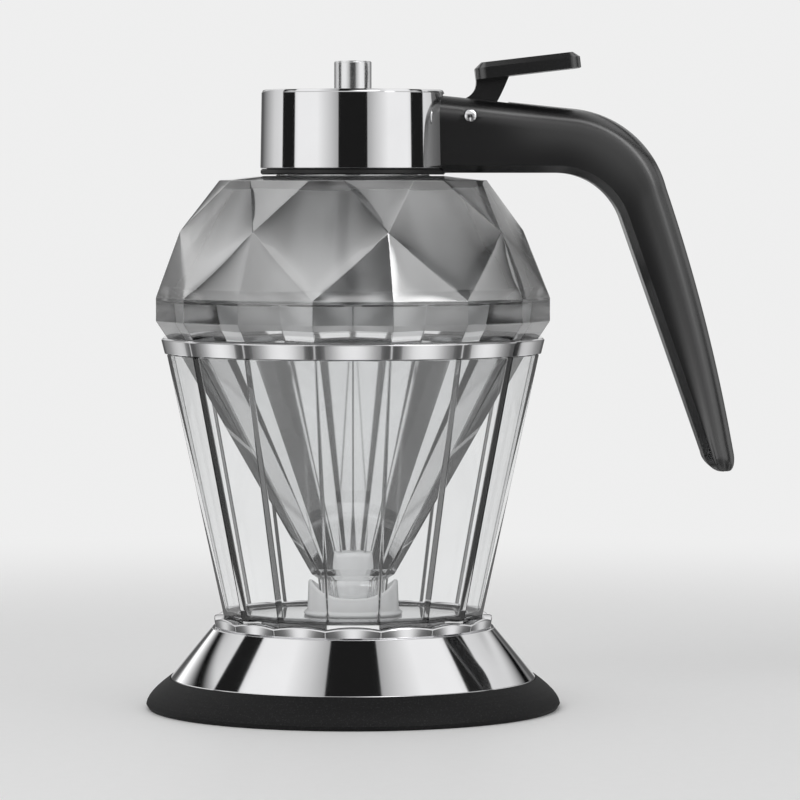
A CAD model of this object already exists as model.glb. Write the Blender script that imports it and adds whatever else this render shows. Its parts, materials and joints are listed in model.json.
"""Syrup dispenser: cut clear bottle with a lever valve and a side handle, in a clear cup on a metal base."""

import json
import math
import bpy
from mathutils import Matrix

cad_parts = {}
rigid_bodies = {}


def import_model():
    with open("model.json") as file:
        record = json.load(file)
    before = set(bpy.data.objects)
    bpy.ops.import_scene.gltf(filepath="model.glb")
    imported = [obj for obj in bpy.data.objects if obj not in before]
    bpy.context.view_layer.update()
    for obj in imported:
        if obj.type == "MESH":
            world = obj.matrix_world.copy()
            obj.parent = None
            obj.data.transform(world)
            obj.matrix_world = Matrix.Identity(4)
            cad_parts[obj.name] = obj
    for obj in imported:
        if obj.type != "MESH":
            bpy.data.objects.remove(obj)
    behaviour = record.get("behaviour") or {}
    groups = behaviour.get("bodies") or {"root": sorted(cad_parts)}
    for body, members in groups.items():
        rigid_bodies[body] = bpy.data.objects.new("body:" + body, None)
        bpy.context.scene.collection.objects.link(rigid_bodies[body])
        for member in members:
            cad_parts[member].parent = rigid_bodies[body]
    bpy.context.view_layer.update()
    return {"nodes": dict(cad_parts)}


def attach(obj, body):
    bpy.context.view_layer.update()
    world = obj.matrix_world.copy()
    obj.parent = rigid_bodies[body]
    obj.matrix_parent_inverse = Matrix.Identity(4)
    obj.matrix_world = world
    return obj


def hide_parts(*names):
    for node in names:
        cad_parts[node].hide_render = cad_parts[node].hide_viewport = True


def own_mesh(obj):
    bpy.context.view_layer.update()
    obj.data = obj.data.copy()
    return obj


bl_info = {
    "name": "Syrup Dispenser",
    "version": (1, 0, 0),
    "blender": (4, 5, 0),
    "location": "View3D > Sidebar > Dispenser",
    "description": "Builds a lever-valve syrup dispenser and its studio piece by piece",
    "category": "Add Mesh",
}

import bmesh
import bpy
from bpy.props import FloatProperty, FloatVectorProperty, IntProperty, PointerProperty
from mathutils import Matrix, Vector

for left in list(bpy.data.objects):
    bpy.data.objects.remove(left)
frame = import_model()
NODES = frame["nodes"]


# ---------------------------------------------------------------- sizes and colours


def length(label, about, default):
    return FloatProperty(name=label, description=about, default=default, min=0.0, unit="LENGTH", precision=5)


def number(label, about, default, low=0.0, high=1.0):
    return FloatProperty(name=label, description=about, default=default, min=low, max=high)


def degrees(label, about, default):
    return FloatProperty(name=label, description=about, default=math.radians(default), subtype="ANGLE")


def count(label, about, default):
    return IntProperty(name=label, description=about, default=default, min=1)


def colour(label, about, default):
    return FloatVectorProperty(
        name=label, description=about, default=default, subtype="COLOR", size=3, min=0, max=1)


def power(label, about, default):
    return FloatProperty(name=label, description=about, default=default, unit="POWER")


class StandSizes(bpy.types.PropertyGroup):
    skirt_top_r: length("Skirt top radius", "Radius of the metal skirt at its top plate", 0.0324)
    skirt_low_r: length("Skirt lower radius", "Radius of the metal skirt where it enters the foot", 0.0419)
    skirt_top_z: length("Skirt top height", "Height of the top plate above the table", 0.0186)
    skirt_edge_z: length("Skirt edge height", "Height at which the slope of the skirt ends", 0.0069)
    skirt_low_z: length("Skirt lower height", "Height of the skirt's lower edge in its groove", 0.0052)
    skirt_t: length("Skirt sheet", "Thickness of the skirt's sheet metal", 0.0016)
    skirt_swell: length("Skirt swell", "Outward swell of the skirt's slope", 0.00004)
    collar_h: length("Collar height", "Height of the lobed collar", 0.0026)
    lobe_flat: number("Lobe flatness", "How flat each lobe is, from round at 0 to a plane at 1", 0.33)
    lobe_arch: length("Lobe arch", "How far the collar's top dips at each cusp", 0.0006)
    lobe_low_r: length("Lobe lower radius", "Radius of the collar's face at the skirt", 0.03185)
    lobe_high_r: length("Lobe upper radius", "Radius of the collar's face at its upper edge", 0.0321)
    lobe_soft: length("Lobe rounding", "Rounding of the collar's edges", 0.00022)
    collar_gap: length("Collar gap", "Gap between the collar and the cup", 0.0001)
    cup_base_r: length("Cup base radius", "Ridge radius of the cup at its underside", 0.0295)
    cup_top_r: length("Cup rim radius", "Ridge radius of the cup at its rim", 0.0439)
    cup_wall: length("Cup wall", "Thickness of the cup's wall", 0.0023)
    cup_floor: length("Cup floor", "Thickness of the cup's floor", 0.0031)
    cup_corner: length("Cup corner", "Rounding between the cup's wall and its floor", 0.002)
    cup_gap: length("Cup gap", "Gap under the cup, so that it shares no face with the skirt", 0.00006)
    lip_drop: length("Lip drop", "Depth of the cup's lip under the band's upper edge", 0.0008)
    rim_z: length("Rim height", "Height of the rim that carries the bottle", 0.085)
    band_h: length("Band height", "Height of the metal band round the rim", 0.0037)
    band_t: length("Band sheet", "Thickness of the metal band", 0.001)
    band_bow: length("Band bow", "Outward bow of each panel of the band", 0.00026)
    band_bevel: length("Band bevel", "Width of the bevel at each corner of the band", 0.002)
    band_edge: length("Band edge", "Width of the bevel along the band's upper edge", 0.0004)
    band_lip: length("Band lip", "Thickness of the band where it folds over the cup's lip", 0.00075)
    band_gap: length("Band gap", "Gap between the band and the cup", 0.0001)
    drip_r: length("Drip cup radius", "Outer radius of the drip cup's wall", 0.0101)
    drip_wall: length("Drip cup wall", "Thickness of the drip cup's wall", 0.0012)
    drip_floor: length("Drip cup floor", "Thickness of the drip cup's floor", 0.0015)
    drip_foot: length("Drip cup foot", "Width of the rolled foot of the drip cup", 0.0008)
    drip_low: length("Drip cup rim", "Height of the drip cup's rim between its horns", 0.0043)
    drip_high: length("Drip cup horns", "Height of the drip cup's two horns", 0.00795)
    drip_lean: length("Drip cup lean", "How far the drip cup's wall leans in at its horns", 0.00022)


class BottleSizes(bpy.types.PropertyGroup):
    panels: count("Panels", "Upright panels round the bottle and the cup", 16)
    spout_z: length("Spout height", "Height of the lower end of the spout", 0.025)
    spout_r: length("Spout radius", "Outer radius of the spout", 0.0072)
    spout_flare: length("Spout flare", "How much wider the spout is under the cone", 0.0006)
    throat_r: length("Throat radius", "Radius of the opening that the stopper closes", 0.00435)
    throat_drop: length("Throat drop", "Depth of the throat's upper edge under the foot of the cone", 0.0008)
    stopper_r: length("Stopper radius", "Radius of the stopper's head", 0.005)
    stopper_h: length("Stopper height", "Height of the stopper's head above its throat", 0.0065)
    stopper_round: length("Stopper rounding", "Rounding of the stopper's head", 0.0011)
    cone_z: length("Cone height", "Height at which the cone meets the spout", 0.031)
    cone_r: length("Cone radius", "Radius of the cone where it meets the spout", 0.0093)
    ledge_z: length("Ledge height", "Height of the ledge that rests on the cup's rim", 0.085)
    ledge_r: length("Ledge radius", "Inner radius of the ledge that rests on the rim", 0.04039)
    ledge_inset: length("Ledge inset", "How much narrower the ledge is than the girdle", 0.0026)
    girdle_r: length("Girdle radius", "Ridge radius of the upright girdle", 0.0456)
    girdle_z: length("Girdle height", "Height of the girdle's lower edge", 0.0889)
    crown_z: length("Crown height", "Height of the girdle's upper edge", 0.0942)
    mid_z: length("Facet point height", "Height of the points between the facet rows", 0.1093)
    mid_r: length("Facet point radius", "Radius of the points between the facet rows", 0.04)
    table_z: length("Table height", "Height of the upper edge of the facets", 0.1208)
    shoulder_z: length("Shoulder height", "Height of the shoulder under the neck", 0.1218)
    shoulder_r: length("Shoulder radius", "Radius of the flat under the neck", 0.02175)
    neck_r: length("Neck radius", "Outer radius of the neck", 0.0175)
    bore_r: length("Mouth radius", "Radius of the mouth", 0.015)
    neck_z: length("Neck height", "Height of the top of the neck", 0.13)
    wall: length("Bottle wall", "Thickness of the bottle's wall", 0.0028)
    facet_crown: length("Facet crown", "How far the middle of each facet stands out over its edges", 0.00015)
    thread_h: length("Thread depth", "Height of the thread above the neck", 0.00085)
    thread_pitch: length("Thread pitch", "Rise of the thread in one turn", 0.004)
    thread_turns: number("Thread turns", "Turns of the thread on the neck", 1.15, 0.5, 2.0)
    thread_rise: length("Thread start", "Height of the thread's lower end above the shoulder", 0.0022)


class HandleSizes(bpy.types.PropertyGroup):
    root_x: length("Root reach", "Distance from the axis to the handle's root", 0.0198)
    root_top_z: length("Root top", "Height of the handle's upper edge at the cap", 0.1402)
    root_low_z: length("Root underside", "Height of the handle's underside", 0.1225)
    corner_out_x: length("Outer corner reach", "Reach of the back's corner before it is rounded", 0.0673)
    corner_in_x: length("Inner corner reach", "Reach of the inner corner before it is rounded", 0.0575)
    tip_x: length("Tip reach", "Reach of the back of the grip at its tip", 0.0871)
    tip_z: length("Tip height", "Height of the tip of the grip", 0.0543)
    tip_depth: length("Tip depth", "Depth of the grip at its tip", 0.0071)
    tip_round: length("Tip rounding", "Length of the rounding at the tip of the grip", 0.0041)
    bend_out_r: length("Outer bend", "Radius of the outer bend", 0.0242)
    bend_in_r: length("Inner bend", "Radius of the inner bend", 0.0157)
    bow: length("Grip bow", "Outward bow of the back of the grip", 0.0012)
    root_w: length("Root width", "Width of the handle at the cap", 0.014)
    grip_w: length("Grip width", "Width of the grip", 0.016)
    back_round: length("Back rounding", "Rounding of the back's edges", 0.0046)
    inner_bevel: length("Inner bevel", "Width of the bevel along the inner edges", 0.0017)
    side_crown: length("Side crown", "How far the handle's sides swell towards its inner edge", 0.0006)
    slope: degrees("Back slope", "Fall of the handle's upper edge", 6.0)
    slot_w: length("Lever slot", "Width of the slot for the lever", 0.0072)
    slot_z: length("Slot floor", "Height of the slot's floor", 0.13195)
    slot_end_x: length("Slot end", "Reach of the slot's far end", 0.03553)
    notch_r: length("Notch radius", "Radius of the notch that clears the lid's collar", 0.0212)
    notch_z: length("Notch height", "Height of the top of the notch", 0.1233)


class LeverSizes(bpy.types.PropertyGroup):
    pivot_x: length("Pivot reach", "Distance from the axis to the pivot", 0.0267)
    pivot_z: length("Pivot height", "Height of the pivot", 0.13545)
    pin_r: length("Pin radius", "Radius of the pivot pin", 0.0012)
    pin_gap: length("Pin gap", "Running gap round the pin", 0.00005)
    pin_seat: length("Pin seat", "How much wider the sunk seat of the pin's end is than the pin", 0.0004)
    pin_sunk: length("Pin seat depth", "Depth of the sunk seat of the pin's end", 0.00045)
    barrel_r: length("Barrel radius", "Radius of the lever round its pivot", 0.003)
    arm_w: length("Arm width", "Width of the lever's arm", 0.0063)
    fork_r: length("Knuckle radius", "Radius of the knuckles that lift the rod", 0.00125)
    fork_z: length("Knuckle height", "Height of the middle of the knuckles", 0.13395)
    prong_gap: length("Fork gap", "Half of the gap between the prongs", 0.00195)
    prong_x: length("Fork depth", "Depth of the gap between the prongs", 0.00306)
    stem_lean: number("Stem lean", "Run of the stem's front edge for each unit of its rise", 0.17)
    plate_l: length("Plate length", "Length of the thumb plate", 0.024)
    plate_w: length("Plate width", "Width of the thumb plate", 0.014)
    plate_side: length("Plate side", "Height of the plate's upright sides", 0.0025)
    plate_crown: length("Plate crown", "Height of the plate's bevelled crown", 0.0012)
    plate_inset: length("Crown inset", "Inset of the plate's bevelled crown", 0.0015)
    plate_corner: length("Plate corner", "Radius of the plate's corners", 0.0026)
    plate_top_z: length("Plate top", "Height of the plate's highest edge", 0.15)
    plate_slope: degrees("Plate slope", "Slope of the thumb plate", 6.7)
    spring_r: length("Spring radius", "Radius of the return spring to the middle of its wire", 0.0027)
    spring_wire: length("Spring wire", "Radius of the return spring's wire", 0.00035)
    spring_turns: count("Spring turns", "Turns of the return spring, two of them closed", 7)
    spring_low_z: length("Spring foot", "Height of the spring's lower end on the rod's collar", 0.1365)
    spring_top_z: length("Spring head", "Height of the spring's upper end in its housing", 0.14675)
    lift: length("Lift", "How far the lever lifts the rod", 0.00396)


class FinishSettings(bpy.types.PropertyGroup):
    satin_black: colour("Satin black", "Colour of the handle and the lever", (0.006, 0.006, 0.0063))
    collar_black: colour("Collar black", "Colour of the lid's inner collar", (0.012, 0.012, 0.012))
    foot_black: colour("Foot black", "Colour of the foot", (0.006, 0.006, 0.0064))
    foot_fleck: colour("Foot flecks", "Colour of the fine flecks in the foot", (0.026, 0.026, 0.027))
    bright_metal: colour("Bright metal", "Colour of the polished metal", (0.86, 0.86, 0.87))
    drawn_steel: colour("Drawn steel", "Colour of the rod, pin, screws and spring", (0.62, 0.62, 0.63))
    clear: colour("Clear", "Tint of the clear bottle and cup", (0.985, 0.99, 0.992))
    crown_clear: colour("Crown tint", "Tint of the moulded skin inside the crown", (0.56, 0.565, 0.57))
    frosted: colour("Frosted white", "Colour of the stopper and the sealing ring", (0.93, 0.935, 0.94))
    satin_rough: number("Satin roughness", "Roughness of the satin black parts", 0.25)
    foot_rough: number("Foot roughness", "Roughness of the foot", 0.62)
    metal_rough: number("Metal roughness", "Roughness of the polished metal", 0.045)
    clear_rough: number("Clear roughness", "Roughness of the clear parts", 0.0)
    inner_rough: number("Inner skin roughness", "Roughness of the moulded skin inside the bottle", 0.06)
    crown_rough: number("Crown skin roughness", "Roughness of the moulded skin inside the crown", 0.3)
    crown_gloss: number("Crown gloss", "Strength of the polish on the crown's facets", 1.0)
    clear_ior: number("Clear index", "Index of refraction of the clear parts", 1.49, 1.0, 2.0)


class StudioSettings(bpy.types.PropertyGroup):
    floor_r: length("Floor radius", "Radius of the studio floor", 6.0)
    floor_drop: length("Floor drop", "Gap under the foot, so that the floor shares no face with it", 0.00005)
    near_r: length("Shadow radius", "Radius within which the floor shows shadow", 0.16)
    far_r: length("Fade radius", "Radius at which the floor has become the backdrop", 0.5)
    pale: number("Pale level", "Brightness of the backdrop", 0.86)
    ambient: number("Ambient level", "Brightness of the even light on matt surfaces", 0.64)
    table_level: number("Table level", "Table through clear parts, as a share of the backdrop", 0.6)
    lamp_level: number("Lamp level", "Brightness of the lamp for the handle's back", 3.2, 0.0, 10.0)
    key_power: power("Key power", "Power of the key softbox", 5.8)
    fill_power: power("Fill power", "Power of the fill softbox", 2.0)
    camera_distance: length("Camera distance", "Distance of the camera from the axis", 1.03)
    camera_height: length("Camera height", "Height of the camera above the table", 0.122)
    aim_x: length("Aim", "How far to the handle's side the camera aims", 0.01076)
    aim_drop: degrees("Aim drop", "How far the camera looks down", 2.862)
    lens: FloatProperty(name="Lens", description="Focal length of the camera", default=202.5, unit="CAMERA")


# ---------------------------------------------------------------- mesh making


def polar(radius, angle, z):
    return Vector((radius * math.cos(angle), radius * math.sin(angle), z))


def join_rings(bm, rings, closed=False, capped=True):
    """Joins rings of equal count into one skin, closed on itself or capped at both ends."""
    made = [[bm.verts.new(p) for p in ring] for ring in rings]
    size = len(rings[0])
    pairs = list(zip(made, made[1:]))
    if closed:
        pairs.append((made[-1], made[0]))
    for low, high in pairs:
        for i in range(size):
            j = (i + 1) % size
            bm.faces.new((low[i], low[j], high[j], high[i]))
    if capped and not closed:
        bm.faces.new(list(reversed(made[0])))
        bm.faces.new(made[-1])
    return made


def turn(bm, profile, steps):
    """Turns a profile of (radius, height) pairs round Z. Points on the axis become poles."""
    rings = []
    for radius, z in profile:
        if radius < 1e-7:
            rings.append([bm.verts.new((0.0, 0.0, z))])
        else:
            rings.append([bm.verts.new(polar(radius, math.tau * i / steps, z)) for i in range(steps)])
    for low, high in zip(rings, rings[1:]):
        for i in range(steps):
            j = (i + 1) % steps
            corners = [low[i % len(low)], low[j % len(low)], high[j % len(high)], high[i % len(high)]]
            unique = list(dict.fromkeys(corners))
            if len(unique) > 2:
                bm.faces.new(unique)
    return rings


def shade(mesh, sharp):
    """Shades a mesh smooth, except along edges sharper than the given angle in degrees."""
    mesh.polygons.foreach_set("use_smooth", [True] * len(mesh.polygons))
    mesh.set_sharp_from_angle(angle=math.radians(sharp))


def finish_mesh(bm, name, sharp):
    """Makes an object of a mesh."""
    bmesh.ops.remove_doubles(bm, verts=bm.verts, dist=1e-7)
    bmesh.ops.recalc_face_normals(bm, faces=bm.faces)
    mesh = bpy.data.meshes.new(name)
    bm.to_mesh(mesh)
    bm.free()
    shade(mesh, sharp)
    obj = bpy.data.objects.new(name, mesh)
    bpy.context.scene.collection.objects.link(obj)
    return obj


def soften(obj, width, segments, angle):
    """Rounds the piece's sharp edges a little, as moulding and polishing do."""
    bevel = obj.modifiers.new("Soft edges", "BEVEL")
    bevel.width = width
    bevel.segments = segments
    bevel.limit_method = "ANGLE"
    bevel.angle_limit = math.radians(angle)
    bevel.use_clamp_overlap = True
    bevel.harden_normals = True


def settle(obj, sharp):
    """Applies the piece's modifiers and sets its sharp edges again."""
    bpy.context.view_layer.update()
    graph = bpy.context.evaluated_depsgraph_get()
    mesh = bpy.data.meshes.new_from_object(obj.evaluated_get(graph))
    obj.modifiers.clear()
    obj.data = mesh
    shade(mesh, sharp)


def carve(obj, cutter, how="DIFFERENCE"):
    """Cuts a closed shape out of a piece, or joins it on, and throws the shape away."""
    boolean = obj.modifiers.new("Cut", "BOOLEAN")
    boolean.operation = how
    boolean.solver = "EXACT"
    boolean.object = cutter
    settle(obj, 30.0)
    bpy.data.objects.remove(cutter)


def box_shape(low, high):
    """A box between two corners, for cutting slots."""
    bm = bmesh.new()
    xs, ys, zs = zip(low, high)
    ring = [(xs[0], ys[0]), (xs[1], ys[0]), (xs[1], ys[1]), (xs[0], ys[1])]
    join_rings(bm, [[Vector((x, y, z)) for x, y in ring] for z in zs])
    return finish_mesh(bm, "cutter", 30.0)


def rod_shape(radius, start, end, steps=64):
    """A round rod between two points, for cutting bores."""
    start, end = Vector(start), Vector(end)
    along = (end - start).to_track_quat("Z", "Y").to_matrix()
    ring = [along @ polar(radius, math.tau * i / steps, 0.0) for i in range(steps)]
    bm = bmesh.new()
    join_rings(bm, [[start + p for p in ring], [end + p for p in ring]])
    return finish_mesh(bm, "cutter", 30.0)


def place(obj, body, slot, material, *nodes):
    """Gives a piece its body, its finish and the node that it stands for."""
    if obj.data.materials:
        obj.data.materials.clear()
    obj.data.materials.append(material)
    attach(obj, body)
    if nodes:
        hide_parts(*nodes)


def let_light_in(obj):
    """Lets soft light through a clear piece to what stands inside it."""
    obj.visible_diffuse = False
    obj.visible_shadow = False


def dress(node, material):
    """Gives a carried-over CAD piece its finish."""
    for slot in NODES[node].material_slots:
        slot.material = material


def ridge_ring(panels, radius, z):
    """A ring with one point at each ridge between two panels."""
    return [polar(radius, math.tau * (i - 0.5) / panels, z) for i in range(panels)]


def bend(start, middle, end, steps):
    """Points on a quadratic curve between two ends."""
    out = []
    for i in range(steps + 1):
        t = i / steps
        out.append(start * (1 - t) ** 2 + middle * 2 * t * (1 - t) + end * t * t)
    return out


# ---------------------------------------------------------------- node tools


def grey(level):
    return (level, level, level, 1.0)


class Nodes:
    """Short way to add and link nodes in one tree. A value is a plain one or the output of another node."""

    def __init__(self, tree):
        self.tree = tree
        self.place = 0

    def add(self, kind, **values):
        node = self.tree.nodes.new(kind)
        self.place += 1
        node.location = (180 * (self.place % 9), -220 * (self.place // 9))
        for key, value in values.items():
            setattr(node, key, value)
        return node

    def link(self, source, target):
        self.tree.links.new(source, target)

    def feed(self, value, socket):
        """Links an output to a socket, or sets a plain value on it."""
        if isinstance(value, bpy.types.NodeSocket):
            self.link(value, socket)
        else:
            socket.default_value = value

    def math(self, how, *values):
        node = self.add("ShaderNodeMath", operation=how)
        for value, socket in zip(values, node.inputs):
            self.feed(value, socket)
        return node.outputs[0]

    def times(self, first, *others):
        for other in others:
            first = self.math("MULTIPLY", first, other)
        return first

    def span(self, value, low, high, out_low, out_high, kind="LINEAR"):
        """Carries a value from one range over to another."""
        node = self.add("ShaderNodeMapRange", interpolation_type=kind)
        node.inputs["From Min"].default_value = low
        node.inputs["From Max"].default_value = high
        node.inputs["To Min"].default_value = out_low
        node.inputs["To Max"].default_value = out_high
        self.link(value, node.inputs["Value"])
        return node.outputs["Result"]

    def fade(self, value, start, end):
        """Goes smoothly from 0 at the start to 1 at the end, of which either may be the higher."""
        return self.span(value, start, end, 0.0, 1.0, "SMOOTHSTEP")

    def ramp(self, value, stops):
        """Turns a value into a grey by a list of (place, level) pairs."""
        node = self.add("ShaderNodeValToRGB")
        ramp = node.color_ramp
        while len(ramp.elements) < len(stops):
            ramp.elements.new(0.5)
        for element, (at, level) in zip(ramp.elements, stops):
            element.position = at
            element.color = grey(level)
        self.link(value, node.inputs["Fac"])
        return node.outputs["Color"]

    def mix(self, factor, a, b, kind="MIX"):
        """Mixes two colours."""
        node = self.add("ShaderNodeMix", data_type="RGBA", blend_type=kind)
        for label, value in (("Factor", factor), ("A", a), ("B", b)):
            self.feed(value, node.inputs[label])
        return node.outputs["Result"]

    def mix_shaders(self, factor, a, b):
        node = self.add("ShaderNodeMixShader")
        for source, target in zip((factor, a, b), node.inputs):
            self.link(source, target)
        return node.outputs[0]

    def noise(self, where, scale, detail):
        node = self.add("ShaderNodeTexNoise")
        for label, value in (("Vector", where), ("Scale", scale), ("Detail", detail)):
            self.feed(value, node.inputs[label])
        return node.outputs["Fac"]

    def split(self, vector):
        """The X, Y and Z of a vector."""
        node = self.add("ShaderNodeSeparateXYZ")
        self.link(vector, node.inputs[0])
        return [node.outputs[label] for label in "XYZ"]


def group(name, inputs, outputs):
    """Starts a shader node group with named sockets."""
    tree = bpy.data.node_groups.new(name, "ShaderNodeTree")
    for label, kind, default in inputs:
        socket = tree.interface.new_socket(name=label, in_out="INPUT", socket_type=kind)
        socket.default_value = default
    for label, kind in outputs:
        tree.interface.new_socket(name=label, in_out="OUTPUT", socket_type=kind)
    nodes = Nodes(tree)
    return nodes, nodes.add("NodeGroupInput").outputs, nodes.add("NodeGroupOutput").inputs


def blank(name):
    """Starts a material with an empty node tree."""
    material = bpy.data.materials.new(name)
    material.use_nodes = True
    material.node_tree.nodes.clear()
    return material, Nodes(material.node_tree)


FLOAT = "NodeSocketFloat"
COLOUR = "NodeSocketColor"


def grain_group():
    """Fine grain of a moulded or rubbery skin: flecks of a second colour and a height for bump."""
    nodes, come, go = group(
        "Moulded Grain",
        [
            ("Colour", COLOUR, grey(0.02)),
            ("Fleck Colour", COLOUR, grey(0.05)),
            ("Scale", FLOAT, 2500.0),
            ("Fleck Amount", FLOAT, 0.2),
            ("Roughness", FLOAT, 0.5),
            ("Roughness Spread", FLOAT, 0.08),
        ],
        [("Colour", COLOUR), ("Roughness", FLOAT), ("Height", FLOAT)],
    )
    where = nodes.add("ShaderNodeTexCoord").outputs["Object"]
    fine = nodes.noise(where, come["Scale"], 3.0)
    broad = nodes.noise(where, 45.0, 4.0)
    fleck = nodes.times(nodes.span(fine, 0.56, 0.68, 0.0, 1.0), come["Fleck Amount"])
    nodes.link(nodes.mix(fleck, come["Colour"], come["Fleck Colour"]), go["Colour"])
    drift = nodes.times(nodes.math("SUBTRACT", broad, 0.5), come["Roughness Spread"])
    nodes.link(nodes.math("ADD", drift, come["Roughness"]), go["Roughness"])
    nodes.link(fine, go["Height"])
    return nodes.tree


def polish_group():
    """Faint haze left by polishing and handling: a roughness that drifts and a very low ripple."""
    nodes, come, go = group(
        "Polish Haze",
        [
            ("Colour", COLOUR, grey(0.8)),
            ("Roughness", FLOAT, 0.05),
            ("Spread", FLOAT, 0.03),
            ("Stretch", FLOAT, 1.0),
            ("Scale", FLOAT, 60.0),
        ],
        [("Colour", COLOUR), ("Roughness", FLOAT), ("Height", FLOAT)],
    )
    x, y, z = nodes.split(nodes.add("ShaderNodeTexCoord").outputs["Object"])
    where = nodes.add("ShaderNodeCombineXYZ")
    for value, socket in zip((x, y, nodes.times(z, come["Stretch"])), where.inputs):
        nodes.link(value, socket)
    haze = nodes.noise(where.outputs[0], come["Scale"], 5.0)
    drift = nodes.span(haze, 0.35, 0.75, 0.0, 1.0)
    nodes.link(nodes.math("ADD", nodes.times(drift, come["Spread"]), come["Roughness"]), go["Roughness"])
    worn = nodes.ramp(drift, [(0.0, 1.0), (1.0, 0.95)])
    nodes.link(nodes.mix(1.0, come["Colour"], worn, "MULTIPLY"), go["Colour"])
    nodes.link(haze, go["Height"])
    return nodes.tree


GROUPS = {}


def shared(name):
    """The named node group, built the first time that a finish asks for it."""
    if name not in GROUPS:
        GROUPS[name] = {"grain": grain_group, "polish": polish_group}[name]()
    return GROUPS[name]


def finish(name, effect, values, sockets, bump=0.0, bump_distance=0.0):
    """A material: one shared effect group feeding a Principled shader, whose plain values are set on it."""
    material, nodes = blank(name)
    shader = nodes.add("ShaderNodeBsdfPrincipled")
    out = nodes.add("ShaderNodeOutputMaterial")
    nodes.link(shader.outputs[0], out.inputs["Surface"])
    effect_node = nodes.add("ShaderNodeGroup", node_tree=shared(effect))
    for label, value in values.items():
        if not isinstance(value, (int, float)):
            value = (*value, 1.0)
        effect_node.inputs[label].default_value = value
    for label, value in sockets.items():
        shader.inputs[label].default_value = value
    nodes.link(effect_node.outputs["Colour"], shader.inputs["Base Color"])
    nodes.link(effect_node.outputs["Roughness"], shader.inputs["Roughness"])
    if bump:
        bump_node = nodes.add("ShaderNodeBump")
        bump_node.inputs["Strength"].default_value = bump
        bump_node.inputs["Distance"].default_value = bump_distance
        nodes.link(effect_node.outputs["Height"], bump_node.inputs["Height"])
        nodes.link(bump_node.outputs["Normal"], shader.inputs["Normal"])
    return material


def satin_black(name, look):
    """Moulded black with a soft sheen."""
    return finish(
        name, "grain",
        {"Colour": look.satin_black, "Fleck Colour": [c * 2.2 for c in look.satin_black], "Scale": 5200.0,
         "Fleck Amount": 0.35, "Roughness": look.satin_rough, "Roughness Spread": 0.06},
        {"Specular IOR Level": 0.85, "Coat Weight": 0.4, "Coat IOR": 1.9, "Coat Roughness": 0.27},
        bump=0.12, bump_distance=0.00002,
    )


def bright_metal(name, look, rough=None):
    """Polished metal with a faint haze."""
    return finish(
        name, "polish",
        {"Colour": look.bright_metal, "Roughness": look.metal_rough if rough is None else rough,
         "Spread": 0.03, "Stretch": 1.0, "Scale": 55.0},
        {"Metallic": 1.0},
    )


def drawn_steel(name, look, rough=0.22):
    """Steel with the fine lines of drawing and turning."""
    return finish(
        name, "polish",
        {"Colour": look.drawn_steel, "Roughness": rough, "Spread": 0.12, "Stretch": 0.03, "Scale": 900.0},
        {"Metallic": 1.0}, bump=0.1, bump_distance=0.00002,
    )


def clear_solid(name, look, rough=None, gloss=0.0, tint=None):
    """Clear plastic, with a polish over it where a gloss is given."""
    return finish(
        name, "polish",
        {"Colour": tint or look.clear, "Roughness": look.clear_rough if rough is None else rough,
         "Spread": 0.004, "Stretch": 1.0, "Scale": 40.0},
        {"Transmission Weight": 1.0, "IOR": look.clear_ior, "Coat Weight": gloss, "Coat IOR": 3.0,
         "Coat Roughness": 0.0},
    )


def frosted(name, look, see_through, rough):
    """Milky white that lets some light through."""
    return finish(
        name, "grain",
        {"Colour": look.frosted, "Fleck Colour": (0.95, 0.95, 0.95), "Scale": 1800.0, "Fleck Amount": 0.4,
         "Roughness": rough, "Roughness Spread": 0.1},
        {"Transmission Weight": see_through, "IOR": 1.42},
        bump=0.1, bump_distance=0.00003,
    )


# ---------------------------------------------------------------- studio


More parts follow.
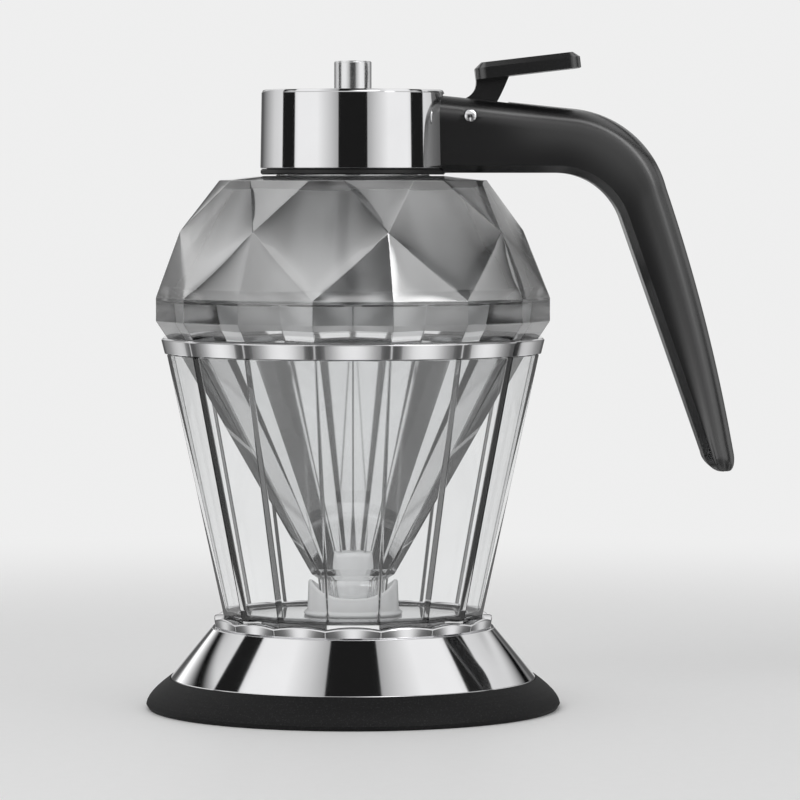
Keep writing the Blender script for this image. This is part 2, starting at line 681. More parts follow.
class DISPENSER_OT_studio(bpy.types.Operator):
    """Sets up the floor, the backdrop, the lamps and the camera"""

    bl_idname = "dispenser.studio"
    bl_label = "Studio"

    def execute(self, context):
        studio = context.scene.dispenser_studio
        self.floor(studio)
        self.world(context.scene, studio)
        self.lamps(context.scene, studio)
        self.camera(context.scene, studio)
        context.scene.view_settings.view_transform = "Standard"
        return {"FINISHED"}

    def floor(self, studio):
        """Wide disc, with rings where its finish begins and ends its fade."""
        bm = bmesh.new()
        steps = 96
        radii = [studio.near_r, studio.far_r, studio.floor_r]
        centre = bm.verts.new((0, 0, 0))
        rings = [[bm.verts.new(polar(r, math.tau * i / steps, 0)) for i in range(steps)] for r in radii]
        for i in range(steps):
            j = (i + 1) % steps
            bm.faces.new((centre, rings[0][i], rings[0][j]))
            for low, high in zip(rings, rings[1:]):
                bm.faces.new((low[i], high[i], high[j], low[j]))
        floor = finish_mesh(bm, "studio_floor", 30.0)
        if floor.data.polygons[0].normal.z < 0:
            floor.data.flip_normals()
        floor.data.materials.append(self.floor_finish(studio))
        floor.location.z = -studio.floor_drop
        floor.visible_glossy = False
        floor.visible_transmission = False
        floor.visible_diffuse = False

    def floor_finish(self, studio):
        """Pale matt floor that takes shadow near the object, fades into the backdrop, clear from below."""
        material, nodes = blank("Pale studio floor")
        where = nodes.add("ShaderNodeTexCoord").outputs["Object"]
        reach = nodes.add("ShaderNodeVectorMath", operation="LENGTH")
        nodes.link(where, reach.inputs[0])
        level = studio.pale
        matt = nodes.add("ShaderNodeBsdfPrincipled")
        mottle = nodes.ramp(nodes.noise(where, 300.0, 2.0), [(0.0, level * 0.985), (1.0, level * 1.015)])
        nodes.link(mottle, matt.inputs["Base Color"])
        matt.inputs["Roughness"].default_value = 0.5
        matt.inputs["Specular IOR Level"].default_value = 0.3
        glow = nodes.add("ShaderNodeEmission")
        glow.inputs["Color"].default_value = grey(level)
        fade = nodes.fade(reach.outputs["Value"], studio.near_r, studio.far_r)
        faded = nodes.mix_shaders(fade, matt.outputs[0], glow.outputs[0])
        below = nodes.add("ShaderNodeNewGeometry").outputs["Backfacing"]
        shown = nodes.mix_shaders(below, faded, nodes.add("ShaderNodeBsdfTransparent").outputs[0])
        nodes.link(shown, nodes.add("ShaderNodeOutputMaterial").inputs["Surface"])
        return material

    def world(self, scene, studio):
        """Even light for matt surfaces, softboxes for polished ones, and a bright field behind clear parts."""
        world = bpy.data.worlds.new("Studio")
        scene.world = world
        world.use_nodes = True
        world.node_tree.nodes.clear()
        nodes = Nodes(world.node_tree)
        way = nodes.split(nodes.add("ShaderNodeTexCoord").outputs["Generated"])
        path = nodes.add("ShaderNodeLightPath").outputs
        light = nodes.mix(path["Is Glossy Ray"], grey(studio.ambient), self.mirrored(nodes, way, studio))
        first = nodes.math("LESS_THAN", path["Diffuse Depth"], 0.5)
        clear_ray = nodes.times(path["Is Transmission Ray"], first)
        light = nodes.mix(clear_ray, light, self.field(nodes, way, studio))
        light = nodes.mix(path["Is Camera Ray"], light, grey(studio.pale))
        background = nodes.add("ShaderNodeBackground")
        nodes.link(light, background.inputs["Color"])
        nodes.link(background.outputs[0], nodes.add("ShaderNodeOutputWorld").inputs["Surface"])

    def mirrored(self, nodes, way, studio):
        """What polished surfaces mirror: softboxes, the table, a panel, a toned ceiling and a small lamp."""
        x, y, z = way
        side = nodes.math("ABSOLUTE", x)
        back = nodes.math("SUBTRACT", 1.0, y)
        light = self.softboxes(nodes, side, back, z)
        # a panel above
        near = nodes.math("MAXIMUM", nodes.fade(y, 0.25, 0.05), nodes.fade(side, 0.50, 0.35))
        panel = nodes.times(nodes.fade(z, 0.12, 0.24), nodes.fade(z, 0.62, 0.52), near)
        light = nodes.mix(panel, light, nodes.span(z, 0.15, 0.40, 0.45, 0.85))
        # a ceiling for the crown's facets, whose tone falls upward at the left and rises at the right
        wide = nodes.math("SQRT", nodes.math("ADD", nodes.times(side, side), nodes.times(back, back)))
        steep = nodes.math("DIVIDE", z, wide)
        ceiling = nodes.mix(nodes.span(x, 0.0, 0.4, 0.0, 1.0), nodes.span(steep, 0.52, 0.60, 1.25, 0.0),
                            nodes.span(steep, 0.52, 0.60, 0.0, 0.75))
        high = nodes.times(nodes.span(steep, 0.44, 0.48, 0.0, 1.0), nodes.span(steep, 0.645, 0.62, 0.0, 1.0))
        light = nodes.mix(high, light, ceiling)
        # a small lamp for the rounded back of the handle
        lamp = nodes.times(nodes.fade(y, -0.75, -0.69), nodes.fade(y, -0.53, -0.60),
                           nodes.fade(x, -0.12, 0.30), nodes.fade(z, 0.05, 0.50))
        return nodes.mix(lamp, light, grey(studio.lamp_level))

    def softboxes(self, nodes, side, back, z):
        """Upright softboxes with dark gaps at each side, and softer light from the table below."""
        share = nodes.math("DIVIDE", nodes.math("ARCTAN2", side, back), math.pi / 2)
        gap = 0.012
        upright = nodes.ramp(share, [
            (0.0, gap), (0.098, gap), (0.101, 0.42), (0.16, 0.66), (0.25, 0.97), (0.40, 0.97), (0.428, 0.86),
            (0.431, gap), (0.544, gap), (0.549, 0.80), (0.64, 0.70), (0.76, 0.34), (0.85, 0.10), (0.92, 0.10),
            (0.96, 0.75), (1.0, 0.90),
        ])
        turns = nodes.math("FRACT", nodes.math("ADD", nodes.times(share, 4.0), 0.5))
        off = nodes.times(nodes.math("ABSOLUTE", nodes.math("SUBTRACT", turns, 0.5)), 2.0)
        table = nodes.ramp(off, [
            (0.0, 0.97), (0.12, 0.86), (0.24, 0.42), (0.36, 0.16), (0.60, 0.10), (0.90, 0.10), (0.97, 0.62),
            (1.0, 0.70),
        ])
        return nodes.mix(nodes.fade(z, -0.12, -0.30), upright, table)

    def field(self, nodes, way, studio):
        """Behind clear parts: bright at each eighth of a turn, dark beside and above it, pale table below."""
        x, y, z = way
        eighth = math.tau / 8
        turns = nodes.math("DIVIDE", nodes.math("ARCTAN2", x, y), eighth)
        share = nodes.math("FRACT", nodes.math("ADD", turns, 8.5))
        pale = studio.pale

        def at(angle):
            return 0.5 + math.radians(angle) / eighth

        behind = nodes.ramp(share, [
            (0.0, 0.22), (at(-17), 0.06), (at(-8), 0.045), (at(-5.4), 0.09), (at(-3.3), pale),
            (at(3.1), pale), (at(5.6), 0.34), (at(9), 0.11), (at(16), 0.035), (1.0, 0.22),
        ])
        behind = nodes.mix(1.0, behind, nodes.span(z, 0.12, 0.30, 1.0, 0.3), "MULTIPLY")
        return nodes.mix(nodes.span(z, -0.34, -0.60, 0.0, 1.0), behind, grey(pale * studio.table_level))

    def lamps(self, scene, studio):
        """Two soft square lamps, at the left and at the right of the camera."""
        target = Vector((0.02, 0, 0.08))
        for name, watts, size, at in (
            ("key_softbox", studio.key_power, 0.7, (-0.75, -0.85, 1.05)),
            ("fill_softbox", studio.fill_power, 0.9, (0.95, -0.6, 0.75)),
        ):
            lamp = bpy.data.lights.new(name, "AREA")
            lamp.energy = watts
            lamp.size = size
            obj = bpy.data.objects.new(name, lamp)
            scene.collection.objects.link(obj)
            obj.location = at
            obj.rotation_euler = (target - obj.location).to_track_quat("-Z", "Y").to_euler()
            obj.visible_glossy = False
            obj.visible_transmission = False

    def camera(self, scene, studio):
        """Long lens at the height of the bottle, aimed a little down and to the handle's side."""
        data = bpy.data.cameras.new("camera")
        data.lens = studio.lens
        data.sensor_width = 36.0
        data.clip_start = 0.05
        data.clip_end = 50.0
        camera = bpy.data.objects.new("camera", data)
        scene.collection.objects.link(camera)
        camera.location = (0.0, -studio.camera_distance, studio.camera_height)
        flat = Vector((studio.aim_x, studio.camera_distance, 0.0))
        drop = flat.length * math.tan(studio.aim_drop)
        camera.rotation_euler = (flat - Vector((0, 0, drop))).to_track_quat("-Z", "Y").to_euler()
        scene.camera = camera


# ---------------------------------------------------------------- stand


def cup_slope(size):
    """How far the cup's wall leans out for each unit of height."""
    return (size.cup_top_r - size.cup_base_r) / (size.rim_z - size.skirt_top_z)


def cup_radius(size, z):
    """Ridge radius of the cup's outside at a height."""
    return size.cup_base_r + (z - size.skirt_top_z) * cup_slope(size)


def cup_side(size, panels):
    """Thickness of the cup's wall, measured level at a ridge."""
    return size.cup_wall * math.sqrt(1 + cup_slope(size) ** 2) / math.cos(math.pi / panels)


class DISPENSER_OT_base(bpy.types.Operator):
    """Builds the metal skirt and the lobed collar, and dresses the foot and its screws"""

    bl_idname = "dispenser.base"
    bl_label = "Base"

    def execute(self, context):
        look = context.scene.dispenser_finish
        size = context.scene.dispenser_stand
        panels = context.scene.dispenser_bottle.panels
        foot = finish(
            "Foot rubber", "grain",
            {"Colour": look.foot_black, "Fleck Colour": look.foot_fleck, "Scale": 3300.0, "Fleck Amount": 0.8,
             "Roughness": look.foot_rough, "Roughness Spread": 0.12},
            {"Specular IOR Level": 0.28}, bump=0.35, bump_distance=0.00006,
        )
        dress("foot", foot)
        dress("base_screws", drawn_steel("Base screw steel", look))
        place(self.skirt(size), "stand", "base_chrome", bright_metal("Base metal", look), "base_skirt")
        place(self.collar(size, panels), "stand", "collar_chrome",
              bright_metal("Collar metal", look, 0.09), "lobed_collar")
        return {"FINISHED"}

    def skirt(self, size):
        """Flared sheet metal under a flat top plate, with a slope that swells a little."""
        steps = 40
        slope = []
        for i in range(steps + 1):
            t = i / steps
            swell = size.skirt_swell * 4 * t * (1 - t)
            slope.append((size.skirt_top_r + (size.skirt_low_r - size.skirt_top_r) * t + swell,
                          size.skirt_top_z + (size.skirt_edge_z - size.skirt_top_z) * t + swell))
        inside = [(r - size.skirt_t, z - size.skirt_t / 2) for r, z in reversed(slope)]
        inside = [(r, min(z, size.skirt_top_z - size.skirt_t)) for r, z in inside]
        profile = [(0.0, size.skirt_top_z)] + slope + [(size.skirt_low_r, size.skirt_low_z)]
        profile += [(size.skirt_low_r - size.skirt_t, size.skirt_low_z)] + inside
        profile += [(0.0, size.skirt_top_z - size.skirt_t)]
        bm = bmesh.new()
        turn(bm, profile, 192)
        skirt = finish_mesh(bm, "base_skirt_spun", 20.0)
        soften(skirt, 0.00025, 3, 25.0)
        return skirt

    def collar(self, size, panels):
        """Ring of lobes, one for each panel of the cup, that lean out a little towards their arched tops."""
        per = 20
        low_z = size.skirt_top_z
        top_z = low_z + size.collar_h
        corner = math.cos(math.pi / panels)

        def ring(radius, z, arch, flat, gap=0.0):
            out = []
            for i in range(panels * per):
                turn_at = math.tau / panels * (i / per - 0.5)
                t = 2 * (i / per - 0.5)
                t -= 2 * round(t / 2)
                plane = corner / math.cos(t * math.pi / panels)
                out.append(polar(radius * (1 - flat + flat * plane) + gap, turn_at, z - arch * t * t))
            return out

        soft, arch, flat = size.lobe_soft, size.lobe_arch, size.lobe_flat
        rings = [
            ring(size.lobe_low_r - soft, low_z, 0, flat),
            ring(size.lobe_low_r, low_z + soft, 0, flat),
            ring(size.lobe_low_r + soft * 0.1, low_z + soft * 1.4, arch * 0.05, flat),
            ring(size.lobe_high_r - soft * 0.1, top_z - soft * 2.4, arch, flat),
            ring(size.lobe_high_r, top_z - soft * 2, arch, flat),
            ring(size.lobe_high_r - soft * 0.4, top_z - soft * 0.8, arch, flat),
            ring(size.lobe_high_r - soft * 1.4, top_z - soft * 0.2, arch, flat),
            ring(size.lobe_high_r - soft * 3, top_z, arch, flat),
            ring(cup_radius(size, top_z), top_z, arch, 1, size.collar_gap),
            ring(size.cup_base_r, low_z, 0, 1, size.collar_gap),
        ]
        bm = bmesh.new()
        join_rings(bm, rings, closed=True)
        return finish_mesh(bm, "lobed_collar_spun", 30.0)


class DISPENSER_OT_cup(bpy.types.Operator):
    """Builds the clear panelled cup, its metal rim band and the drip cup"""

    bl_idname = "dispenser.cup"
    bl_label = "Cup"

    def execute(self, context):
        look = context.scene.dispenser_finish
        size = context.scene.dispenser_stand
        panels = context.scene.dispenser_bottle.panels
        cup = self.cup(size, panels)
        place(cup, "stand", "cup_clear", clear_solid("Cup clear", look), "stand_cup")
        let_light_in(cup)
        place(self.band(size, panels), "stand", "band_chrome",
              bright_metal("Band metal", look, 0.08), "rim_band")
        place(self.drip_cup(size), "stand", "drip_plastic",
              frosted("Drip cup plastic", look, 0.3, 0.16), "drip_cup")
        return {"FINISHED"}

    def drip_cup(self, size):
        """Small cup with a rolled foot, whose rim sweeps up to a horn at each side."""
        steps = 128
        floor_z = size.skirt_top_z + size.cup_floor
        wall, foot = size.drip_wall, size.drip_foot
        low = [(size.drip_r + foot * out, foot * up) for out, up in (
            (0.6, 0.0), (0.95, 0.3), (1.0, 0.65), (0.8, 1.0), (0.4, 1.2), (0.1, 1.45), (0.0, 1.9))]
        top = [(0.0, -0.5), (-0.1, -0.2), (-0.3, -0.03), (-0.5, 0.0), (-0.7, -0.03), (-0.9, -0.2),
               (-1.0, -0.5)]
        inside = size.drip_r - wall
        back = [(inside, size.drip_floor + wall), (inside - wall * 0.3, size.drip_floor + wall * 0.3),
                (inside - wall, size.drip_floor)]
        rings = []
        for k in range(len(low) + len(top) + len(back)):
            ring = []
            for i in range(steps):
                turn_at = math.tau * i / steps
                rim = size.drip_low + (size.drip_high - size.drip_low) * abs(math.cos(turn_at)) ** 3
                if k < len(low):
                    r, z = low[k]
                elif k < len(low) + len(top):
                    across, down = top[k - len(low)]
                    lean = size.drip_lean * rim / size.drip_high
                    r, z = size.drip_r - lean + across * (wall - lean), rim + down * wall
                else:
                    r, z = back[k - len(low) - len(top)]
                ring.append(polar(r, turn_at, floor_z + z))
            rings.append(ring)
        bm = bmesh.new()
        join_rings(bm, rings)
        return finish_mesh(bm, "drip_cup_moulded", 35.0)

    def cup(self, size, panels):
        """Clear cup with a floor, whose wall is stepped back for the band."""
        side = cup_side(size, panels)
        floor_z = size.skirt_top_z + size.cup_floor
        band_z = size.rim_z - size.band_h
        lip_z = size.rim_z - size.lip_drop
        step = size.band_t / 2
        corner = size.cup_corner
        middle_r, middle_z = cup_radius(size, floor_z) - side - corner, floor_z + corner
        rounds = []
        for i in range(5):
            a = math.radians(90 * i / 4)
            rounds.append((middle_r + corner * math.sin(a), middle_z - corner * math.cos(a)))
        profile = [
            (cup_radius(size, size.skirt_top_z), size.skirt_top_z + size.cup_gap),
            (cup_radius(size, band_z), band_z),
            (cup_radius(size, band_z) - step, band_z),
            (cup_radius(size, lip_z) - step, lip_z),
            (cup_radius(size, lip_z) - side, lip_z),
        ] + list(reversed(rounds))
        bm = bmesh.new()
        join_rings(bm, [ridge_ring(panels, r, z) for r, z in profile])
        cup = finish_mesh(bm, "stand_cup_clear", 8.0)
        soften(cup, 0.00028, 2, 12.0)
        return cup

    def band(self, size, panels):
        """Band of bowed panels round the cup's rim, folded over its lip."""
        half = math.pi / panels
        side = cup_side(size, panels)
        low_z = size.rim_z - size.band_h + size.band_gap
        top_z = size.rim_z
        lip_z = size.rim_z - size.band_lip
        low_r, top_r = cup_radius(size, size.rim_z - size.band_h), cup_radius(size, top_z)
        wall, edge, gap = size.band_t / 2, size.band_edge, size.band_gap

        def ring(r, z, w, bow=0.0):
            """Ring with bevelled corners, each panel bowed outward a little between them."""
            d = (r * math.cos(half) - w / 2 * math.sin(half)) / math.cos(half)
            reach = math.hypot(d, w / 2)
            turn_by = math.atan2(w / 2, d)
            steps = 10
            out = []
            for i in range(panels):
                start = polar(reach, math.tau * (i - 0.5) / panels + turn_by, z)
                end = polar(reach, math.tau * (i + 0.5) / panels - turn_by, z)
                away = Vector((start.x + end.x, start.y + end.y, 0.0)).normalized()
                for k in range(steps + 1):
                    t = k / steps
                    out.append(start.lerp(end, t) + away * bow * 4 * t * (1 - t))
            return out

        wide, narrow = size.band_bevel, size.band_bevel / 4
        rings = [
            ring(low_r + wall, low_z, wide, size.band_bow),
            ring(top_r + wall, top_z - edge, wide, size.band_bow),
            ring(top_r + wall - edge, top_z, wide, size.band_bow),
            ring(top_r - side, top_z, narrow),
            ring(top_r - side, lip_z, narrow),
            ring(cup_radius(size, lip_z) - wall + gap, lip_z, narrow),
            ring(low_r - wall + gap, low_z, narrow),
        ]
        bm = bmesh.new()
        join_rings(bm, rings, closed=True)
        band = finish_mesh(bm, "rim_band_pressed", 8.0)
        soften(band, 0.00016, 2, 8.0)
        return band


# ---------------------------------------------------------------- bottle


# Places of the bottle's finishes in its list of materials, after the plain clear one
INNER_SKIN, CROWN_SKIN, CROWN_FACET = 1, 2, 3


class DISPENSER_OT_bottle(bpy.types.Operator):
    """Builds the cut bottle with its threaded neck"""

    bl_idname = "dispenser.bottle"
    bl_label = "Bottle"

    def execute(self, context):
        look = context.scene.dispenser_finish
        size = context.scene.dispenser_bottle
        clear = clear_solid("Bottle clear", look, gloss=0.35)
        bottle = self.bottle(size)
        place(bottle, "bottle", "bottle_clear", clear, "bottle")
        # in the order of INNER_SKIN, CROWN_SKIN and CROWN_FACET
        for skin in (clear_solid("Bottle inner skin", look, look.inner_rough),
                     clear_solid("Bottle crown skin", look, look.crown_rough, tint=look.crown_clear),
                     clear_solid("Bottle crown facets", look, gloss=look.crown_gloss)):
            bottle.data.materials.append(skin)
        let_light_in(bottle)
        place(self.thread(size), "bottle", "bottle_clear", clear)
        return {"FINISHED"}

    def bottle(self, size):
        bm = bmesh.new()
        foot, shoulder, facets = self.outside(bm, size)
        self.swell(bm, facets, size.facet_crown)
        outside = set(bm.faces)
        rings = join_rings(bm, self.cavity(size), capped=False)
        clear_of = 0.001
        for face in set(bm.faces) - outside:
            at = face.calc_center_median()
            if at.z < size.shoulder_z - clear_of or at.xy.length < size.neck_r - clear_of:
                in_crown = size.girdle_z < at.z < size.shoulder_z
                face.material_index = CROWN_SKIN if in_crown else INNER_SKIN
        self.flat(bm, foot, rings[0])
        self.flat(bm, shoulder, rings[-1])
        bottle = finish_mesh(bm, "bottle_cut", 8.0)
        soften(bottle, 0.00018, 2, 9.0)
        return bottle

    def crown_lean(self, size):
        """How far the crown leans in for each unit of height."""
        half = math.pi / (size.panels // 2)
        return (size.girdle_r - size.mid_r * math.cos(half)) / (size.mid_z - size.crown_z)

    def outside(self, bm, size):
        """Spout, cone, ledge, girdle and cut crown. Gives the loops at its two ends and the crown's facets."""
        panels = size.panels
        kites = panels // 2
        made = join_rings(bm, [ridge_ring(panels, r, z) for r, z in (
            (size.spout_r, size.spout_z),
            (size.spout_r + size.spout_flare, size.cone_z - 0.001),
            (size.cone_r, size.cone_z),
            (size.ledge_r, size.ledge_z),
            (size.girdle_r - size.ledge_inset, size.ledge_z),
            (size.girdle_r, size.girdle_z),
            (size.girdle_r, size.crown_z),
        )], capped=False)
        short = math.pi / kites / 3
        table_r = (size.girdle_r - (size.table_z - size.crown_z) * self.crown_lean(size)) / math.cos(short)

        def at(i):
            return math.tau * (i - 0.5) / panels

        def table(r, z):
            return [bm.verts.new(polar(r, at(2 * k) + s * short, z)) for k in range(kites) for s in (-1, 1)]

        mids = [bm.verts.new(polar(size.mid_r, at(2 * k + 1), size.mid_z)) for k in range(kites)]
        upper = table(table_r, size.table_z)
        shoulder = table(size.shoulder_r, size.shoulder_z)
        girdle = made[-1]
        facets = []
        for k in range(kites):
            g0, g1, g2 = girdle[2 * k], girdle[2 * k + 1], girdle[(2 * k + 2) % panels]
            facets.append(bm.faces.new((g0, mids[k - 1], upper[2 * k], upper[2 * k + 1], mids[k])))
            facets.append(bm.faces.new((mids[k], upper[2 * k + 1], upper[(2 * k + 2) % panels])))
            facets.append(bm.faces.new((g0, mids[k], g1)))
            facets.append(bm.faces.new((g1, mids[k], g2)))
        for i in range(panels):
            j = (i + 1) % panels
            bm.faces.new((upper[i], shoulder[i], shoulder[j], upper[j]))
        return made[0], shoulder, facets

    def cavity(self, size):
        """Rings of the throat, the cone, the crown and the mouth, and down the neck again."""
        lean = self.crown_lean(size)
        crown_side = size.wall * math.sqrt(1 + lean * lean)
        corner = math.cos(math.pi / size.panels)
        cone_lean = (size.ledge_r - size.cone_r) / (size.ledge_z - size.cone_z)
        cone_side = size.wall * math.sqrt(1 + cone_lean * cone_lean)

        def cone_in(z):
            return (size.cone_r + (z - size.cone_z) * cone_lean) * corner - cone_side

        throat_z = size.cone_z - size.throat_drop
        foot_z = throat_z + 0.003
        belly_z = size.ledge_z - 0.003
        girdle_in = size.girdle_r * corner - size.wall
        top_z = size.table_z - size.wall
        crown_in = size.girdle_r - (top_z - size.crown_z) * lean - crown_side
        rise_z = size.crown_z + (size.girdle_r - crown_side - girdle_in) / lean
        hold_z = size.girdle_z + 0.2 * (size.girdle_z - size.ledge_z)
        belly = bend(Vector((cone_in(belly_z), belly_z)), Vector((girdle_in, hold_z + 0.002)),
                     Vector((girdle_in - 0.0006, rise_z + 0.001)), 28)
        profile = [(size.throat_r, size.spout_z), (size.throat_r, throat_z), (cone_in(foot_z), foot_z)]
        profile += [(p.x, p.y) for p in belly]
        profile += [(crown_in, top_z), (size.bore_r, size.shoulder_z - size.wall), (size.bore_r, size.neck_z),
                    (size.neck_r, size.neck_z), (size.neck_r, size.shoulder_z)]
        round_from = size.crown_z - 0.001
        steps = 128
        per = steps // size.panels
        rings = []
        for r, z in profile:
            is_round = r in (size.throat_r, size.bore_r, size.neck_r) or z > round_from
            ring = []
            for i in range(steps):
                flat = corner / math.cos(math.pi / size.panels * (2 * (i % per) / per - 1))
                ring.append(polar(r * (1.0 if is_round else flat), math.tau * i / steps, z))
            rings.append(ring)
        return rings

    def swell(self, bm, facets, height):
        """Gives each facet a slight crown that falls to nothing at its edges, as polished facets have."""
        steps = 7
        corners = {face: [v.co.copy() for v in face.verts] for face in facets}
        ends = {edge: tuple(edge.verts) for face in facets for edge in face.edges}
        for a, b in list(ends.values()):
            start, last = a.co.copy(), b.co.copy()
            for k in range(1, steps):
                a = bmesh.utils.edge_split(bm.edges.get((a, b)), a, 0.5)[1]
                a.co = start.lerp(last, k / steps)
        for face in facets:
            points = corners[face]
            centre = sum(points, Vector()) / len(points)
            away = (points[1] - points[0]).cross(points[2] - points[0]).normalized()
            if away.dot(centre) < 0:
                away = -away
            sides = []
            for a, b in zip(points, points[1:] + points[:1]):
                across = away.cross(b - a).normalized()
                sides.append((a, across * math.copysign(1.0, across.dot(centre - a))))
            loop = list(face.verts)
            bm.faces.remove(face)

            def lift(p):
                share = 1.0
                for a, across in sides:
                    share *= max(0.0, across.dot(p - a)) / across.dot(centre - a)
                return p + away * height * min(share, 2.0) ** 0.6

            outer = loop
            for k in range(steps - 1, 0, -1):
                ring = [bm.verts.new(lift(centre.lerp(v.co, k / steps))) for v in loop]
                for i in range(len(loop)):
                    j = (i + 1) % len(loop)
                    bm.faces.new((outer[i], outer[j], ring[j], ring[i])).material_index = CROWN_FACET
                outer = ring
            top = bm.verts.new(centre + away * height)
            for i in range(len(loop)):
                bm.faces.new((outer[i], outer[(i + 1) % len(loop)], top)).material_index = CROWN_FACET

    def flat(self, bm, outer, inner):
        """Fills the flat ring between two closed loops."""
        edges = []
        for loop in (outer, inner):
            for a, b in zip(loop, loop[1:] + loop[:1]):
                edges.append(bm.edges.get((a, b)))
        bmesh.ops.triangle_fill(bm, edges=edges, use_beauty=True)

    def thread(self, size):
        """The neck's screw thread, of low section, that runs out to nothing at both ends."""
        per = 72
        steps = int(size.thread_turns * per)
        root_r, crest_r = size.neck_r - 0.0001, size.neck_r + size.thread_h
        half_root, half_crest = 0.0009, 0.0004
        rings = []
        for i in range(steps + 1):
            turn_at = math.tau * i / per
            z = size.shoulder_z + size.thread_rise + size.thread_pitch * i / per
            fade = min(1.0, i / 8, (steps - i) / 8)
            crest = root_r + (crest_r - root_r) * max(fade, 0.12)
            rings.append([
                polar(root_r, turn_at, z - half_root), polar(crest, turn_at, z - half_crest),
                polar(crest, turn_at, z + half_crest), polar(root_r, turn_at, z + half_root),
            ])
        bm = bmesh.new()
        join_rings(bm, rings)
        return finish_mesh(bm, "neck_thread", 35.0)


# ---------------------------------------------------------------- lid, handle, lever


class DISPENSER_OT_lid(bpy.types.Operator):
    """Builds the return spring, and dresses the cap and the other parts of the lid"""

    bl_idname = "dispenser.lid"
    bl_label = "Lid"

    def execute(self, context):
        look = context.scene.dispenser_finish
        dress("cap_cover", bright_metal("Cap metal", look))
        dress("spring_tower", bright_metal("Spring housing metal", look, 0.2))
        dress("threaded_collar", finish(
            "Collar plastic", "grain",
            {"Colour": look.collar_black, "Fleck Colour": (0.03, 0.03, 0.03), "Scale": 4200.0,
             "Fleck Amount": 0.3, "Roughness": 0.42, "Roughness Spread": 0.08},
            {"Specular IOR Level": 0.5}, bump=0.12, bump_distance=0.00002,
        ))
        dress("neck_gasket", frosted("Sealing ring silicone", look, 0.1, 0.5))
        dress("rod_guide", frosted("Bush plastic", look, 0.0, 0.4))
        lever = context.scene.dispenser_lever
        spring = self.spring(lever)
        place(spring, "lid", "spring_steel", drawn_steel("Spring wire", look, 0.2), "valve_spring")
        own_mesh(spring)
        dress("handle_screws", drawn_steel("Handle screw steel", look))
        return {"FINISHED"}

    def spring(self, size):
        """Return spring of round wire, with a closed turn at each end."""
        per, sides = 28, 12
        wire = size.spring_wire
        low, high = size.spring_low_z + wire, size.spring_top_z - wire
        section = [math.tau * k / sides for k in range(sides)]
        closed = wire * 2.1
        rise = (high - low - 2 * closed) / (size.spring_turns - 2)
        rings = []
        for i in range(size.spring_turns * per + 1):
            turns = i / per
            rest = size.spring_turns - turns
            if turns < 1:
                z = low + closed * turns
            elif rest < 1:
                z = high - closed * rest
            else:
                z = low + closed + rise * (turns - 1)
            around = math.tau * turns
            middle = polar(size.spring_r, around, z)
            out, up = polar(wire, around, 0.0), Vector((0, 0, wire))
            rings.append([middle + out * math.cos(a) + up * math.sin(a) for a in section])
        bm = bmesh.new()
        join_rings(bm, rings)
        return finish_mesh(bm, "valve_spring_wound", 40.0)


def ease(t):
    """A smooth step from 0 to 1."""
    t = min(1.0, max(0.0, t))
    return t * t * (3 - 2 * t)


def rail(start, corner, end, radius, bow, steps):
    """Straight, round bend, and a straight that may bow outward, as points in the plane of the handle."""
    straight, around, grip = steps
    u = (start - corner).normalized()
    v = (end - corner).normalized()
    turn_by = math.pi - math.acos(u.dot(v))
    reach = radius * math.tan(turn_by / 2)
    first, last = corner + u * reach, corner + v * reach
    middle = corner + (u + v).normalized() * math.hypot(reach, radius)
    side = Vector((-v.y, v.x))
    out = [start.lerp(first, i / straight) for i in range(straight)]
    arm = (first - middle).normalized() * radius
    for i in range(around + 1):
        c, s = math.cos(-turn_by * i / around), math.sin(-turn_by * i / around)
        out.append(middle + Vector((arm.x * c - arm.y * s, arm.x * s + arm.y * c)))
    for i in range(1, grip + 1):
        t = i / grip
        out.append(last.lerp(end, t) + side * bow * 4 * t * (1 - t))
    return out


